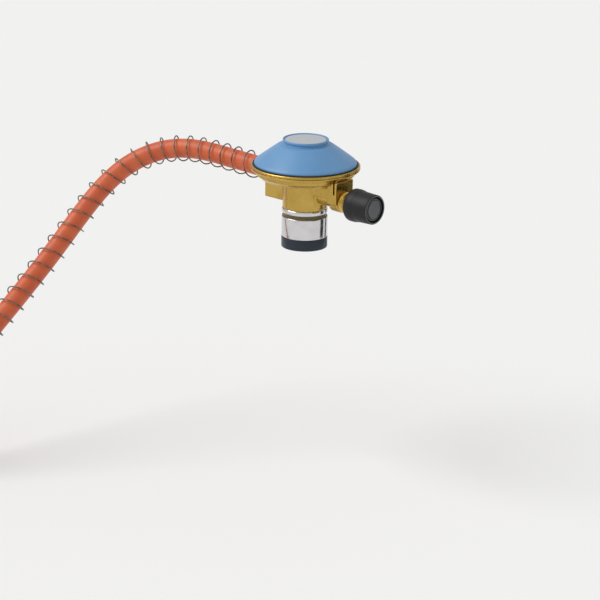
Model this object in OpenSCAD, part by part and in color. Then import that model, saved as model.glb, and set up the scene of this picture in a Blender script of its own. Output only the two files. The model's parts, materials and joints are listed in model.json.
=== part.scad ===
// Screw-on gas cartridge regulator with a wire-guarded hose.
// The origin is the mouth of the cartridge thread. +Z is up, the shut-off
// knob points along +X and the hose leaves along -X.

/* [Bowl and cover] */
// Outer radius of the rolled rim
rim_r = 36.7; // [36.5:0.1:38]
// Height of the rolled rim's lower edge
rim_z = 53.4; // [53.2:0.1:54]
// Radius of the blue cover at its lower edge
cover_r = 34.4; // [34:0.1:34.5]
// Height of the raised ring on top of the cover
crown_z = 74.2; // [73:0.1:76]
// Outer radius of the raised ring
crown_r = 16; // [15.9:0.1:17]

/* [Neck and connector] */
// Radius of the brass neck
neck_r = 15; // [14.6:0.1:15.2]
// Radius of the chrome sleeve and of the dark base ring
sleeve_r = 15.5; // [15.2:0.1:16]
// Height of the dark base ring
base_h = 7.5; // [7:0.1:9]
// Height at which the chrome sleeve ends and the brass neck shows
sleeve_top = 27.2; // [27:0.1:28]
// Wall radius of the 7/16-28 UNEF cartridge thread
thread_r = 5.2; // [5.1:0.05:5.4]
// Depth of the cartridge thread
thread_h = 8; // [6:0.5:8]

/* [Shut-off valve] */
// Height of the knob's axis
knob_z = 37.3; // [36.5:0.1:38]
// Half width of the knob-side arm
arm_half = 8.4; // [8:0.1:9]
// Where the knob-side arm ends
arm_end = 35.6; // [35:0.1:36]
// Largest radius of the knob
knob_r = 11; // [10.5:0.1:12]
// Radius of the knob at its front edge
knob_front_r = 9.8; // [9.5:0.1:10]
// Where the knob's front face lies
knob_face = 62.4; // [62:0.1:63]

/* [Outlet] */
// Height of the hose outlet's axis
outlet_z = 47; // [46.5:0.1:47.5]
// Half width of the block under the outlet
block_half = 7.5; // [7:0.1:8]
// Reach of the block under the outlet
block_reach = 30.1; // [29:0.1:31]

/* [Hose] */
// Outer diameter of the hose
hose_d = 13.3; // [13:0.1:13.5]
// Bore of the hose
hose_bore = 6.3; // [6:0.1:6.5]
// Outer diameter of the wire guard
guard_d = 18.6; // [17.8:0.1:18.8]
// Width across the flats of the union nut, G 1/4 left hand
nut_flats = 17; // [17:0.5:19]

/* [Hidden] */
$fn = 96;

brass = [0.72, 0.60, 0.33];
chamber_r = 28;                 // gas chamber under the diaphragm
chamber_z = 49.2;
clamp_z = 54.2;                 // the diaphragm lies on this shoulder
clamp_t = 1;                    // thickness of the diaphragm
lip_r = 35.4;                   // inner radius of the rolled lip
lip_z = 56.7;                   // top of the rolled lip
flange_z = clamp_z + clamp_t + 0.1;
badge_r = 14.1;
adjuster_r = 10;

pivot_x = 8;                    // the lever's pin
pivot_z = 52.2;
jet_x = 12.8;                   // the jet, on the lever's far side
lever_t = 1;
pin_r = 1;
stem_r = 2.5;

gap = 0.05;                     // running clearance on a radius
valve_r = 3.6;                  // bore of the shut-off valve
spindle_r = 2;
nose_r = 1.2;
knob_rear = knob_face - 19.4;
bonnet_end = knob_rear - 0.6;
spindle_end = knob_face - 5.1;
pocket_x = knob_face - 2.8;  // floor of the pocket in the knob's face

ferrule_r = 8.2;
ferrule_l = 9;
tail_r = 3.4;
hose_x = -37.5;                 // the hose's first end, against its tail
guard_x = -38;                  // the guard's first end
guard_gap = 9.6;                // bare hose held inside the free end's ferrule

// The hose's centre line: off its tail, over and down past the cartridge,
// and once round on the table.
route = [[hose_x, 0, outlet_z], [-53.5, 0, 47.5], [-68.5, -1, 48],
    [-83.5, -2, 49], [-98.5, -4.5, 49.5], [-113, -8.5, 48.5],
    [-126, -14.5, 45], [-137.5, -22, 39], [-146, -31, 31],
    [-152, -41, 21], [-156, -51, 10], [-158, -62, -1],
    [-160, -84, -22], [-161, -107, -41], [-162, -130, -59],
    [-162.5, -154, -77], [-164, -178, -94], [-168, -202, -110],
    [-176, -226, -124], [-189, -248, -135], [-208, -265, -142],
    [-232, -274, -144], [-258, -272, -144], [-283, -260, -144],
    [-302, -240, -144], [-312, -214, -144], [-312, -186, -144],
    [-302, -159, -144], [-282, -139, -144], [-256, -128, -144],
    [-228, -127, -144], [-203, -137, -144], [-184, -156, -144],
    [-174, -180, -144], [-172, -196, -144]];
end_point = route[len(route) - 1];
end_heading = -83;              // degrees round from +X, level

// ---- helpers ----

// A round solid about the X axis, from x0 to x1.
module along_x(x0, x1, r, z = 0) {
    translate([x0, 0, z])
        rotate([0, 90, 0])
            cylinder(h = x1 - x0, r = r);
}

// A turned solid about the X axis from [x, radius] points.
module turned_x(points, z = 0) {
    translate([0, 0, z])
        rotate([0, 90, 0])
            rotate_extrude()
                polygon([for (p = points) [p[1], p[0]]]);
}

module turned_z(points) {
    rotate_extrude() polygon(points);
}

module hex_x(x0, x1, flats) {
    translate([x0, 0, 0])
        rotate([30, 0, 0])
            rotate([0, 90, 0])
                cylinder(h = x1 - x0, r = flats / 2 / cos(30), $fn = 6);
}

// Puts a fitting drawn about the X axis at the hose's free end.
module at_hose_end() {
    translate(end_point)
        rotate([0, 0, end_heading])
            children();
}

function unit(v) = v / norm(v);
function heading_at(p, i) =
    i == 0 ? unit(p[1] - p[0]) :
    i == len(p) - 1 ? unit(p[i] - p[i - 1]) :
    unit(unit(p[i + 1] - p[i]) + unit(p[i] - p[i - 1]));
function side_at(p, i) = unit(cross(heading_at(p, i), [0, 0, 1]));
function ring_at(p, i, r, sides) =
    let (side = side_at(p, i), over = cross(side, heading_at(p, i)))
    [for (k = [0 : sides - 1])
        p[i] + r * (cos(360 * k / sides) * side + sin(360 * k / sides) * over)];

// A hollow tube swept along the points of p.
module swept_tube(p, r_out, r_in, sides = 12) {
    n = len(p);
    outer = [for (i = [0 : n - 1]) each ring_at(p, i, r_out, sides)];
    inner = [for (i = [0 : n - 1]) each ring_at(p, i, r_in, sides)];
    m = n * sides;
    walls = [for (i = [0 : n - 2], k = [0 : sides - 1])
        let (a = i * sides + k, b = i * sides + (k + 1) % sides)
        each [[a, a + sides, b], [b, a + sides, b + sides],
            [m + a, m + b, m + a + sides],
            [m + b, m + b + sides, m + a + sides]]];
    ends = [for (k = [0 : sides - 1])
        let (a = k, b = (k + 1) % sides, c = (n - 1) * sides)
        each [[a, b, m + a], [b, m + b, m + a],
            [c + a, m + c + a, c + b], [c + b, m + c + a, m + c + b]]];
    polyhedron(concat(outer, inner), concat(walls, ends));
}

// ---- the casting ----

module bowl_outside() {
    turned_z([[0, 12], [13, 12], [13, sleeve_top], [neck_r, sleeve_top],
        [neck_r, 45], [16.5, 46.6], [29.2, 47], [30.2, 48.4], [33, 50],
        [33.6, 51], [33.6, 52.8], [34.4, rim_z], [36.1, rim_z],
        [rim_r, rim_z + 0.5], [rim_r, 54.8], [rim_r - 0.7, 55],
        [rim_r - 0.7, 55.4], [rim_r, 55.6], [rim_r, lip_z - 0.5],
        [rim_r - 0.5, lip_z], [0, lip_z]]);
}

module knob_arm() {
    translate([8, -arm_half, 39.4]) cube([arm_end - 10, 2 * arm_half, 11.6]);
    translate([arm_end - 8, -arm_half, knob_z - 1])
        cube([8, 2 * arm_half, 51.6 - knob_z + 1]);
    along_x(arm_end - 7.5, arm_end, 7.4, knob_z);
    along_x(0, arm_end - 1, 5.2, knob_z);
}

module outlet_arm() {
    translate([-block_reach, -block_half, 30])
        cube([block_reach - 4, 2 * block_half, 17.2]);
    along_x(-34.3, -16, 6.4, outlet_z);
}

module lever_posts() {
    for (side = [-1, 1])
        translate([pivot_x - 1.8, side * 3.8 - 1.2, chamber_z - 0.5])
            cube([3.6, 2.4, pivot_z + 1.4 - chamber_z + 0.5]);
}

module body_casting() {
    color(brass)
    difference() {
        union() {
            difference() {
                union() {
                    bowl_outside();
                    knob_arm();
                    outlet_arm();
                }
                translate([0, 0, chamber_z])
                    cylinder(h = 20, r = chamber_r);
                translate([0, 0, clamp_z]) cylinder(h = 20, r = lip_r);
            }
            lever_posts();
        }
        // insert thread, gas way up the neck, and across to the valve seat
        translate([0, 0, 11]) cylinder(h = 10.2, r = 8);
        translate([0, 0, 21]) cylinder(h = knob_z - 21, r = 3);
        along_x(0, 10.5, 1.6, knob_z);
        difference() {
            along_x(9.4, arm_end + 1, valve_r, knob_z);
            along_x(9, 10, 2.2, knob_z);
        }
        // jet, beside the neck's gas way
        translate([jet_x, 0, knob_z]) cylinder(h = 12.5, r = 1.6);
        translate([jet_x, 0, 44]) cylinder(h = 6, r = 2.6);
        // outlet
        along_x(-35, -24, 4.4, outlet_z);
        along_x(-24.5, -19, 2.6, outlet_z);
        translate([-21.5, 0, outlet_z]) cylinder(h = 3, r = 2.4);
        // lever pin, and the slots beside the arm's end plate
        translate([pivot_x, 6, pivot_z])
            rotate([90, 0, 0])
                cylinder(h = 12, r = pin_r);
        for (side = [-1, 1])
            translate([arm_end - 3, side * 7.2 - 1.7, 43])
                cube([1.3, 3.4, 9]);
    }
}

// ---- connector ----

module connector_sleeve() {
    color([0.80, 0.80, 0.82])
    turned_z([[13.02, base_h + 0.5], [13.02, sleeve_top],
        [neck_r, sleeve_top], [sleeve_r, 26.6], [sleeve_r, 25.5],
        [15.1, 24.9], [14.7, 24.9], [14.7, 22], [15.2, 22],
        [sleeve_r, 21.6], [sleeve_r, base_h + 0.3], [15.2, base_h],
        [13.6, base_h]]);
}

module base_ring() {
    color([0.22, 0.26, 0.31])
    turned_z([[10.95, 0.4], [11.3, 0], [15, 0], [sleeve_r, 0.5],
        [sleeve_r, base_h - 0.3], [15.2, base_h], [10.95, base_h]]);
}

module inlet_insert() {
    color(brass)
    difference() {
        turned_z([[0, 0], [10.5, 0], [10.9, 0.4], [10.9, base_h],
            [13, base_h], [13, 12], [7.95, 12], [7.95, 21], [0, 21]]);
        translate([0, 0, -1]) cylinder(h = thread_h + 1, r = thread_r);
        translate([0, 0, thread_h - 0.01])
            cylinder(h = 11.4 - thread_h + 0.01, r = 5.6);
        translate([0, 0, 11]) cylinder(h = 7, r = 4);
        translate([0, 0, 17]) cylinder(h = 5, r = 3);
    }
}

module cartridge_seal() {
    color([0.08, 0.08, 0.09])
    translate([0, 0, 9.6])
        difference() {
            cylinder(h = 1.8, r = 5.55);
            translate([0, 0, -1]) cylinder(h = 4, r = 2.4);
        }
}

module opener_pin() {
    color(brass)
    difference() {
        union() {
            translate([0, 0, 8.2]) cylinder(h = 5.5, r = 1.3);
            translate([0, 0, 13.2]) cylinder(h = 1.2, r = 3.95);
        }
        for (turn = [0 : 120 : 240])
            rotate([0, 0, turn])
                translate([2.6, 0, 13]) cylinder(h = 2, r = 0.8);
    }
}

module inlet_filter() {
    color([0.62, 0.46, 0.28])
    translate([0, 0, 14.45]) cylinder(h = 2.5, r = 3.95);
}

// ---- regulating mechanism ----

module inlet_jet() {
    color(brass)
    translate([jet_x, 0, 0])
        difference() {
            turned_z([[0, 44.2], [2.58, 44.2], [2.58, 48.6], [1.2, 48.6],
                [0.8, 49.5], [0, 49.5]]);
            translate([0, 0, 43]) cylinder(h = 8, r = 0.4);
        }
}

module lever() {
    color([0.66, 0.66, 0.68])
    difference() {
        union() {
            translate([-1.6, -0.8, pivot_z - lever_t / 2])
                cube([8, 1.6, lever_t]);
            translate([5, -2.2, pivot_z - lever_t / 2])
                cube([10.2, 4.4, lever_t]);
            translate([pivot_x, 2.2, pivot_z])
                rotate([90, 0, 0])
                    cylinder(h = 4.4, r = 1.6);
        }
        translate([pivot_x, 3, pivot_z])
            rotate([90, 0, 0])
                cylinder(h = 6, r = pin_r + gap);
    }
}

module lever_pin() {
    color([0.75, 0.75, 0.76])
    translate([pivot_x, 4.9, pivot_z])
        rotate([90, 0, 0])
            cylinder(h = 9.8, r = pin_r);
}

module valve_pad() {
    color([0.10, 0.10, 0.10])
    translate([jet_x, 0, 50.7])
        cylinder(h = pivot_z - lever_t / 2 - 50.7, r = 2.1);
}

module diaphragm() {
    color([0.16, 0.16, 0.17])
    turned_z([[2.6, clamp_z + 0.05], [20, clamp_z + 0.05],
        [21.5, clamp_z + 0.9], [24, clamp_z + 1.5],
        [26.5, clamp_z + 0.9], [28, clamp_z + 0.05],
        [34, clamp_z + 0.05], [34, clamp_z + clamp_t],
        [28.3, clamp_z + clamp_t], [26.8, clamp_z + 1.8],
        [24, clamp_z + 2.4], [21.2, clamp_z + 1.8],
        [19.7, clamp_z + clamp_t], [2.6, clamp_z + clamp_t]]);
}

module diaphragm_plate() {
    color([0.78, 0.78, 0.80])
    turned_z([[2.05, 55.25], [17.5, 55.25], [17.5, 56.6], [17.1, 56.6],
        [17.1, 56.1], [9, 56.1], [9, 57], [8.2, 57], [8.2, 56.1],
        [2.05, 56.1]]);
}

module stem() {
    color([0.70, 0.70, 0.72])
    difference() {
        turned_z([[0, 50.3], [stem_r, 50.3], [stem_r, 53.6], [5, 53.6],
            [5, 54.2], [2.55, 54.2], [2.55, 55.2], [2, 55.2], [2, 59.6],
            [1.6, 60], [0, 60]]);
        translate([-4, -1.1, pivot_z - 1.2]) cube([8, 2.2, 2.4]);
    }
}

module stem_nut() {
    color([0.75, 0.75, 0.77])
    translate([0, 0, 56.15])
        difference() {
            cylinder(h = 2.4, r = 3.5 / cos(30), $fn = 6);
            translate([0, 0, -1]) cylinder(h = 5, r = 2.02);
        }
}

// A coil spring: flat turns at each end and four open turns between.
module regulator_spring() {
    coil_r = 6.6;
    low = 57;
    high = 66.3;
    turns = 5;
    steps = turns * 12;
    points = [for (i = [0 : steps])
        let (t = i / steps, rise = min(max((t - 0.12) / 0.76, 0), 1))
        [coil_r * cos(360 * turns * t), coil_r * sin(360 * turns * t),
            low + (high - low) * rise]];
    color([0.6, 0.6, 0.62])
        swept_tube(points, 0.75, 0.1, 6);
}

module spring_adjuster() {
    color(brass)
    difference() {
        translate([0, 0, 67.2]) cylinder(h = 4.6, r = adjuster_r);
        translate([0, 0, 69.8]) cylinder(h = 3, r = 3.5, $fn = 6);
        translate([0, 0, 66]) cylinder(h = 5, r = 1.2);
    }
}

module cover() {
    color([0.40, 0.59, 0.78])
    turned_z([[28.4, flange_z], [cover_r, flange_z], [cover_r, 57.9],
        [33.7, 59], [31, 61.2], [27, 64.2], [23, 67],
        [19.4, 69.4], [17.6, 70.5], [15.6, 71.2], [15.5, 72.1],
        [crown_r, 72.6], [crown_r, 73.6], [crown_r - 0.8, crown_z],
        [crown_r - 1.7, crown_z], [badge_r + 0.1, crown_z - 0.5],
        [badge_r + 0.1, 73], [adjuster_r + gap, 73],
        [adjuster_r + gap, 69], [16, 69], [18, 67.6], [21.4, 65.2],
        [25.3, 62.5], [29.2, 59.6], [31.6, 57.6], [31.6, 56.7],
        [28.4, 56.7]]);
}

module cover_badge() {
    color([0.78, 0.79, 0.80])
    turned_z([[0, 73.02], [badge_r, 73.02], [badge_r, 73.6],
        [badge_r - 0.4, 73.8], [0, 73.9]]);
}

module rim_gasket() {
    color([0.07, 0.07, 0.08])
    turned_z([[cover_r + 0.05, flange_z], [lip_r - 0.05, flange_z],
        [lip_r - 0.05, 57.2], [lip_r - 0.25, 57.4],
        [cover_r + 0.05, 57.4]]);
}

// ---- shut-off valve ----

module valve_bonnet() {
    color(brass)
    turned_x([[26, 2.96], [26, 3.55], [arm_end, 3.55], [arm_end, 6.9],
        [arm_end + 0.6, 7.3], [arm_end + 2.1, 7.3],
        [arm_end + 2.7, 6.7], [arm_end + 4, 6.7], [arm_end + 4.6, 7.1],
        [bonnet_end - 0.8, 7.1], [bonnet_end, 6.4],
        [bonnet_end, spindle_r + gap], [28, spindle_r + gap],
        [28, 2.96]], knob_z);
}

module spindle() {
    color(brass)
    difference() {
        turned_x([[12.4, 0], [12.4, nose_r], [14.1, nose_r],
            [14.1, spindle_r], [16, spindle_r], [16, 3.4], [18, 3.4],
            [18, spindle_r], [spindle_end, spindle_r], [spindle_end, 0]],
            knob_z);
        along_x(spindle_end - 6, spindle_end + 1, 1.1, knob_z);
    }
}

module spindle_oring() {
    color([0.08, 0.08, 0.08])
    translate([27, 0, knob_z])
        rotate([0, 90, 0])
            rotate_extrude()
                translate([2.5, 0]) circle(r = 0.43, $fn = 24);
}

module pad_holder() {
    color(brass)
    turned_x([[10.8, 2.45], [10.8, 3.2], [14, 3.2], [14, nose_r + gap],
        [12.3, nose_r + gap], [12.3, 0], [11.9, 0], [11.9, 2.45]], knob_z);
}

module shutoff_pad() {
    color([0.09, 0.09, 0.10])
    along_x(10.05, 11.88, 2.4, knob_z);
}

module knob() {
    color([0.17, 0.17, 0.18])
    difference() {
        turned_x([[knob_rear, 8.8], [knob_rear, 9.6],
            [knob_rear + 0.8, 10.5], [knob_rear + 2.4, knob_r],
            [knob_rear + 6.9, knob_r], [knob_rear + 8.7, 10.75],
            [knob_rear + 9.9, 10.4], [knob_face - 0.6, knob_front_r],
            [knob_face, 9.2], [knob_face, 8.7], [pocket_x, 8.5],
            [pocket_x, 1.3], [spindle_end + 0.1, 1.3],
            [spindle_end + 0.1, spindle_r], [knob_rear + 2.4, spindle_r],
            [knob_rear + 2.4, 4.2], [knob_rear + 7.9, 4.2],
            [knob_rear + 7.9, 8.8]], knob_z);
        along_x(pocket_x - 1.4, pocket_x + 1, 2.6, knob_z);
    }
}

module knob_cap() {
    color([0.36, 0.37, 0.38])
    turned_x([[pocket_x + 0.05, 0], [pocket_x + 0.05, 7.4],
        [knob_face - 0.8, 7.4], [knob_face - 0.5, 7.1],
        [knob_face - 0.5, 0]], knob_z);
}

module knob_screw() {
    color([0.70, 0.70, 0.72])
    difference() {
        turned_x([[spindle_end - 5.6, 0], [spindle_end - 5.6, 1.08],
            [pocket_x - 1.4, 1.08], [pocket_x - 1.4, 2.4],
            [pocket_x - 0.1, 2.4], [pocket_x - 0.1, 0]], knob_z);
        translate([pocket_x - 0.8, -2, knob_z - 0.25])
            cube([1, 4, 0.5]);
    }
}

// ---- hose line ----

// A crimped sleeve whose closed end is at x = 0 and mouth at x = -length.
module crimp_sleeve() {
    turned_x([[-ferrule_l, 6.75], [-ferrule_l, 7.7],
        [-ferrule_l + 0.5, ferrule_r], [-6.4, ferrule_r], [-6, 7.8], [-5.6, ferrule_r],
        [-3.8, ferrule_r], [-3.4, 7.8], [-3, ferrule_r],
        [0.4, ferrule_r], [1, 7.7], [1, tail_r + gap],
        [0, tail_r + gap], [0, 6.75]]);
}

module outlet_tail() {
    color(brass)
    translate([0, 0, outlet_z])
        difference() {
            union() {
                along_x(-37.4, -24.6, 4.38);
                hex_x(-37.4, -34.35, 11.6);
                turned_x([[-54, 0], [-54, 2.9], [-51, tail_r],
                    [-50.6, 3.1], [-47, tail_r], [-46.6, 3.1],
                    [-43, tail_r], [-42.6, 3.1], [-41, tail_r],
                    [-37.2, tail_r], [-37.2, 0]]);
            }
            along_x(-55, -24, 2);
        }
}

module hose() {
    color([0.80, 0.36, 0.20])
        swept_tube(route, hose_d / 2, hose_bore / 2);
}

module hose_guard() {
    last = len(route) - 1;
    start = [guard_x, 0, outlet_z];
    stop = end_point
        - guard_gap * unit(route[last] - route[last - 1]);
    middle = [for (i = [1 : last - 1]) route[i]];
    color([0.45, 0.43, 0.42])
        swept_tube(concat([start], middle, [stop]),
            guard_d / 2, guard_d / 2 - 0.2);
}

module end_ferrule() {
    color([0.70, 0.70, 0.72])
        at_hose_end() crimp_sleeve();
}

module end_tail() {
    color(brass)
    at_hose_end()
        difference() {
            turned_x([[-16, 0], [-16, 2.9], [-13, tail_r], [-12.6, 3.1],
                [-9, tail_r], [-8.6, 3.1], [-5, tail_r], [-4.6, 3.1],
                [-3, tail_r], [1.1, tail_r], [1.1, 3.9], [5.9, 3.9],
                [5.9, 5.55], [7.2, 5.55], [7.2, 4.4], [8.4, 3.4],
                [8.4, 0]]);
            along_x(-17, 9, 2);
        }
}

module union_nut() {
    color(brass)
    at_hose_end()
        difference() {
            intersection() {
                hex_x(2.6, 16.6, nut_flats);
                turned_x([[2.6, 0], [2.6, 8.4], [4, 9.9], [15.2, 9.9],
                    [16.6, 8.4], [16.6, 0]]);
            }
            along_x(2, 6, 3.9 + gap);
            along_x(5.6, 8.6, 6.2);
            along_x(8.5, 17, 5.72);
        }
}

body_casting();
connector_sleeve();
base_ring();
inlet_insert();
cartridge_seal();
opener_pin();
inlet_filter();
inlet_jet();
lever();
lever_pin();
valve_pad();
diaphragm();
diaphragm_plate();
stem();
stem_nut();
regulator_spring();
spring_adjuster();
cover();
cover_badge();
rim_gasket();
valve_bonnet();
spindle();
spindle_oring();
pad_holder();
shutoff_pad();
knob();
knob_cap();
knob_screw();
outlet_tail();
hose();
hose_guard();
end_ferrule();
end_tail();
union_nut();
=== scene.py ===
# %% [markdown]
# # A screw-on gas regulator with a guarded hose
# The regulator's working parts, sizes and joints come from the CAD model, which is
# loaded here as a fixed frame. This lesson dresses that frame: it rebuilds the parts
# that the eye lands on with softer edges and finer detail, and gives every part a
# finish. Lengths in the cells are millimetres, and `MM` turns them into metres.

# %% Load the frame
import json
import math
import random

import bmesh
import bpy
from mathutils import Matrix, Vector


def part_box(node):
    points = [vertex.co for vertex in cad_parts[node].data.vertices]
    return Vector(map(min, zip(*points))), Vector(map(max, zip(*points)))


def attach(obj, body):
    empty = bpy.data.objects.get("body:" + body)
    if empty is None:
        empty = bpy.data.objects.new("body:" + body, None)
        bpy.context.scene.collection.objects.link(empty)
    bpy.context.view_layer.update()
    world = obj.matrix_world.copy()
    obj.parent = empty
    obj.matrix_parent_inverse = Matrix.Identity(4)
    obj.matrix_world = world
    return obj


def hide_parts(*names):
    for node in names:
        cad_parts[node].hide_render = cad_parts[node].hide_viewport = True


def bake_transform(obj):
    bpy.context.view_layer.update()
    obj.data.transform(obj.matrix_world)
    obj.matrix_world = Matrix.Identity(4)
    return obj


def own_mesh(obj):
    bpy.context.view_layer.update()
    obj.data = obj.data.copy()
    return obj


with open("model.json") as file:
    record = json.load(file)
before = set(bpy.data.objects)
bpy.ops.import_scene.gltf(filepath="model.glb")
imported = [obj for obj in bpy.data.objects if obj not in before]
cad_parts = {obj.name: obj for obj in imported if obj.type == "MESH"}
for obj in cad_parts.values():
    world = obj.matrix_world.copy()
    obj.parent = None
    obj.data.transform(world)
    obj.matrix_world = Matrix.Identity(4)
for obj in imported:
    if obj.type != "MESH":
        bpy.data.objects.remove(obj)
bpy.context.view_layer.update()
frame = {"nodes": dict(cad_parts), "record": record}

MM = 0.001


# %% [markdown]
# ## The camera
# A long lens from a little above flattens the perspective, as in a catalogue view.
# The camera is placed by its direction and its distance from a point under the
# regulator, so that the whole setting can be read and changed as four numbers.

# %% Place the camera
VIEW_AZIMUTH = math.radians(42.81)     # turned round from looking along +Y
VIEW_ELEVATION = math.radians(17.75)
VIEW_ROLL = math.radians(0.885)
VIEW_DISTANCE = 1713.7 * MM
AIM = Vector((-1.65, -1.53, -38.73)) * MM

camera_data = bpy.data.cameras.new("catalogue_camera")
camera_data.lens = 151.55
camera_data.sensor_width = 36
camera = bpy.data.objects.new("catalogue_camera", camera_data)
bpy.context.collection.objects.link(camera)
turn = (
    Matrix.Rotation(VIEW_AZIMUTH, 4, "Z")
    @ Matrix.Rotation(math.pi / 2 - VIEW_ELEVATION, 4, "X")
    @ Matrix.Rotation(VIEW_ROLL, 4, "Z")
)
backwards = turn.to_3x3() @ Vector((0, 0, 1))
camera.matrix_world = Matrix.Translation(AIM + VIEW_DISTANCE * backwards) @ turn
bpy.context.scene.camera = camera
print("camera at, mm:", [round(v / MM) for v in camera.matrix_world.translation])


# %% [markdown]
# ## Floor and studio light
# The object would stand on a gas cartridge, which isn't part of it, so the regulator
# floats where the cartridge would hold it and only the hose reaches the floor. A pale
# floor, a pale room and one broad soft light give the even light of a product picture.
# Polished metal shows what is around it, so two dark cards stand beside the regulator
# where only reflections can see them; without them chrome looks like grey paint.

# %% Floor and room
FLOOR_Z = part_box("hose_guard")[0].z
FLOOR_GREY = 0.86
FLOOR_SIDE = 12.0                      # metres, past the edge of any view
ROOM_LIGHT = 0.64


def stage_sheet(name, size, grey, place):
    """A flat square of studio paper, put in its place in its mesh."""
    mesh = bpy.data.meshes.new(name)
    shape = bmesh.new()
    bmesh.ops.create_grid(shape, x_segments=1, y_segments=1, size=size / 2)
    bmesh.ops.transform(shape, matrix=place, verts=shape.verts)
    shape.to_mesh(mesh)
    shape.free()
    sheet = bpy.data.objects.new(name, mesh)
    bpy.context.collection.objects.link(sheet)
    paper = bpy.data.materials.new(name + "_paper")
    paper.use_nodes = True
    shader = paper.node_tree.nodes["Principled BSDF"]
    shader.inputs["Base Color"].default_value = (grey, grey, grey, 1)
    shader.inputs["Roughness"].default_value = 0.9
    shader.inputs["Specular IOR Level"].default_value = 0.1
    mesh.materials.append(paper)
    return sheet


stage_sheet("studio_floor", FLOOR_SIDE, FLOOR_GREY, Matrix.Translation((0, 0, FLOOR_Z)))
room = bpy.data.worlds.new("studio_room")
bpy.context.scene.world = room
room.use_nodes = True
room.node_tree.nodes["Background"].inputs["Color"].default_value = (1.0, 0.995, 0.985, 1)
room.node_tree.nodes["Background"].inputs["Strength"].default_value = ROOM_LIGHT
bpy.context.scene.view_settings.view_transform = "Standard"
print("floor at, mm:", round(FLOOR_Z / MM, 1))


# %% Light and dark cards
LIGHT_AWAY = 2.0                       # metres; a sun lamp shines alike from anywhere
CARD_AWAY, CARD_HEIGHT, CARD_GREY = 0.42, 0.70, 0.012


def facing(azimuth, elevation, distance):
    """A place round the regulator, as the camera's is given, that faces it."""
    face = Matrix.Rotation(math.radians(azimuth), 4, "Z")
    face = face @ Matrix.Rotation(math.radians(90 - elevation), 4, "X")
    return Matrix.Translation(face.to_3x3() @ Vector((0, 0, distance))) @ face


def broad_light(name, azimuth, elevation, spread, strength):
    """Even light over the whole floor, as from a big far window; spread softens it."""
    data = bpy.data.lights.new(name, "SUN")
    data.angle = math.radians(spread)
    data.energy = strength
    lamp = bpy.data.objects.new(name, data)
    bpy.context.collection.objects.link(lamp)
    lamp.matrix_world = facing(azimuth, elevation, LIGHT_AWAY)


def dark_card(name, azimuth, elevation, width):
    """A tall card that is seen only in reflections."""
    stretch = Matrix.Diagonal((width, CARD_HEIGHT, 1, 1))
    card = stage_sheet(name, 1.0, CARD_GREY, facing(azimuth, elevation, CARD_AWAY) @ stretch)
    card.visible_camera = False
    card.visible_diffuse = False
    card.visible_shadow = False


broad_light("window_light", azimuth=-42, elevation=48, spread=40, strength=1.65)
dark_card("right_card", azimuth=138, elevation=-5, width=0.16)
dark_card("far_right_card", azimuth=172, elevation=-5, width=0.10)
print("one light and two cards,", CARD_AWAY, "m from the regulator")


# %% [markdown]
# ## Surface helpers
# Every finish starts from the same shader and reads the piece's own coordinates, so a
# pattern stays where it is put when the view changes. Values that are even all over a
# surface go straight onto the shader, and only what varies is linked.

# %% A finish
def finish(name, colour, roughness, metallic=0.0, **sockets):
    """A new material, its tree, and its shader with the even values set."""
    material = bpy.data.materials.new(name)
    material.use_nodes = True
    tree = material.node_tree
    shader = tree.nodes["Principled BSDF"]
    shader.inputs["Base Color"].default_value = (*colour, 1)
    shader.inputs["Roughness"].default_value = roughness
    shader.inputs["Metallic"].default_value = metallic
    for socket, value in sockets.items():
        shader.inputs[socket.replace("_", " ")].default_value = value
    return material, tree, shader


print("a finish starts as one even colour and roughness")


# %% Patterns for a finish
def pattern(tree, scale, detail=3.0, stretch=(1, 1, 1)):
    """A cloudy pattern on object coordinates; stretch above 1 packs it closer."""
    place = tree.nodes.new("ShaderNodeTexCoord")
    mapping = tree.nodes.new("ShaderNodeMapping")
    mapping.inputs["Scale"].default_value = stretch
    cloud = tree.nodes.new("ShaderNodeTexNoise")
    cloud.inputs["Scale"].default_value = scale
    cloud.inputs["Detail"].default_value = detail
    tree.links.new(place.outputs["Object"], mapping.inputs["Vector"])
    tree.links.new(mapping.outputs["Vector"], cloud.inputs["Vector"])
    return cloud.outputs["Fac"]


def blend_colours(tree, source, low, high, start=0.35, end=0.65):
    """Turns a grey pattern into a blend of two colours."""
    ramp = tree.nodes.new("ShaderNodeValToRGB")
    ramp.color_ramp.elements[0].position = start
    ramp.color_ramp.elements[0].color = (*low, 1)
    ramp.color_ramp.elements[1].position = end
    ramp.color_ramp.elements[1].color = (*high, 1)
    tree.links.new(source, ramp.inputs["Fac"])
    return ramp.outputs["Color"]


def spread_values(tree, source, low, high, start=0.3, end=0.7):
    """Turns a grey pattern into values between low and high."""
    spread = tree.nodes.new("ShaderNodeMapRange")
    spread.inputs["From Min"].default_value = start
    spread.inputs["From Max"].default_value = end
    spread.inputs["To Min"].default_value = low
    spread.inputs["To Max"].default_value = high
    tree.links.new(source, spread.inputs["Value"])
    return spread.outputs["Result"]


def roughen(tree, shader, source, depth_mm, strength=1.0):
    """Raises and lowers the surface by a pattern, as a bump."""
    bump = tree.nodes.new("ShaderNodeBump")
    bump.inputs["Distance"].default_value = depth_mm * MM
    bump.inputs["Strength"].default_value = strength
    tree.links.new(source, bump.inputs["Height"])
    tree.links.new(bump.outputs["Normal"], shader.inputs["Normal"])


print("a pattern can change colour, roughness and height")
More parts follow.
